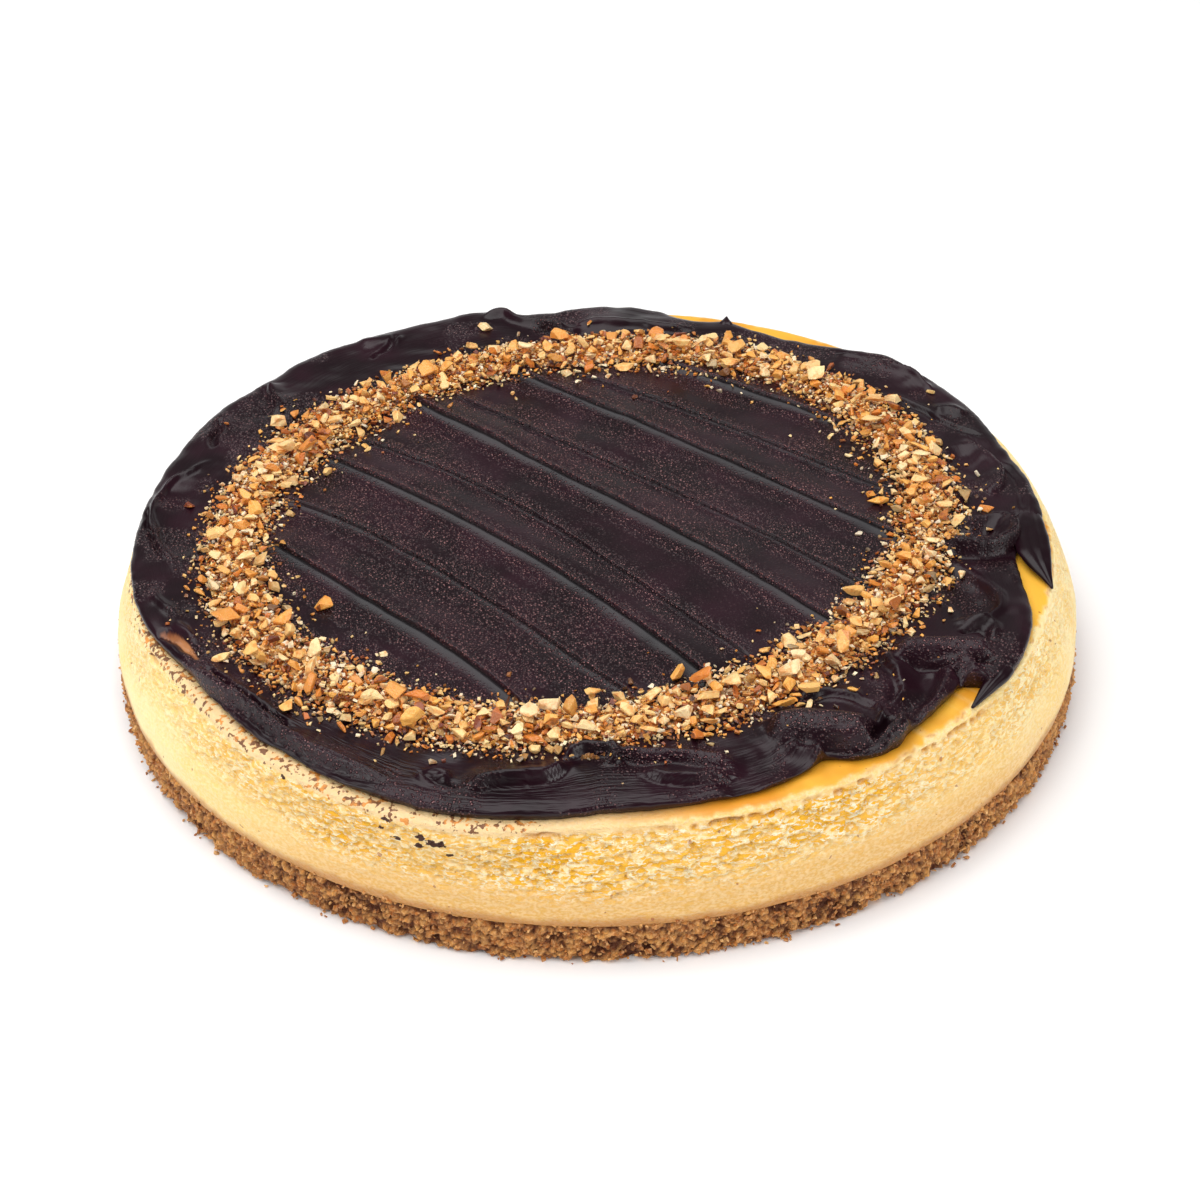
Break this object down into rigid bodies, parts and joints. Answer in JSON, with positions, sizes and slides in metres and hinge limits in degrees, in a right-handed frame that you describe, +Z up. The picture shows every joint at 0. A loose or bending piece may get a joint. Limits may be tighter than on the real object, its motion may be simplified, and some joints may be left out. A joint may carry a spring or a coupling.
{
  "type": "baked cheesecake",
  "caption": "Whole round baked cheesecake: crumbly biscuit base, tall cheese filling with a torn side, combed chocolate topping and a ring of chopped nuts.",
  "frame": {"origin": "centre of the cake's underside, on the surface it stands on", "axes": "+Z up through the middle of the cake, -Y towards the front of the picture, +X to its right"},
  "size_m": [0.2803, 0.2806, 0.0491],
  "materials": {
    "biscuit": "coarse baked crumb",
    "cheese": "soft, dense, torn and pitted at the side",
    "chocolate": "satin dark chocolate cream with fine bubbles",
    "nuts": "chopped toasted hazelnut, cream to brown"
  },
  "bodies": {
    "root": {"biscuit_base": "biscuit", "cheese_filling": "cheese", "chocolate_topping": "chocolate"}
  },
  "joints": []
}
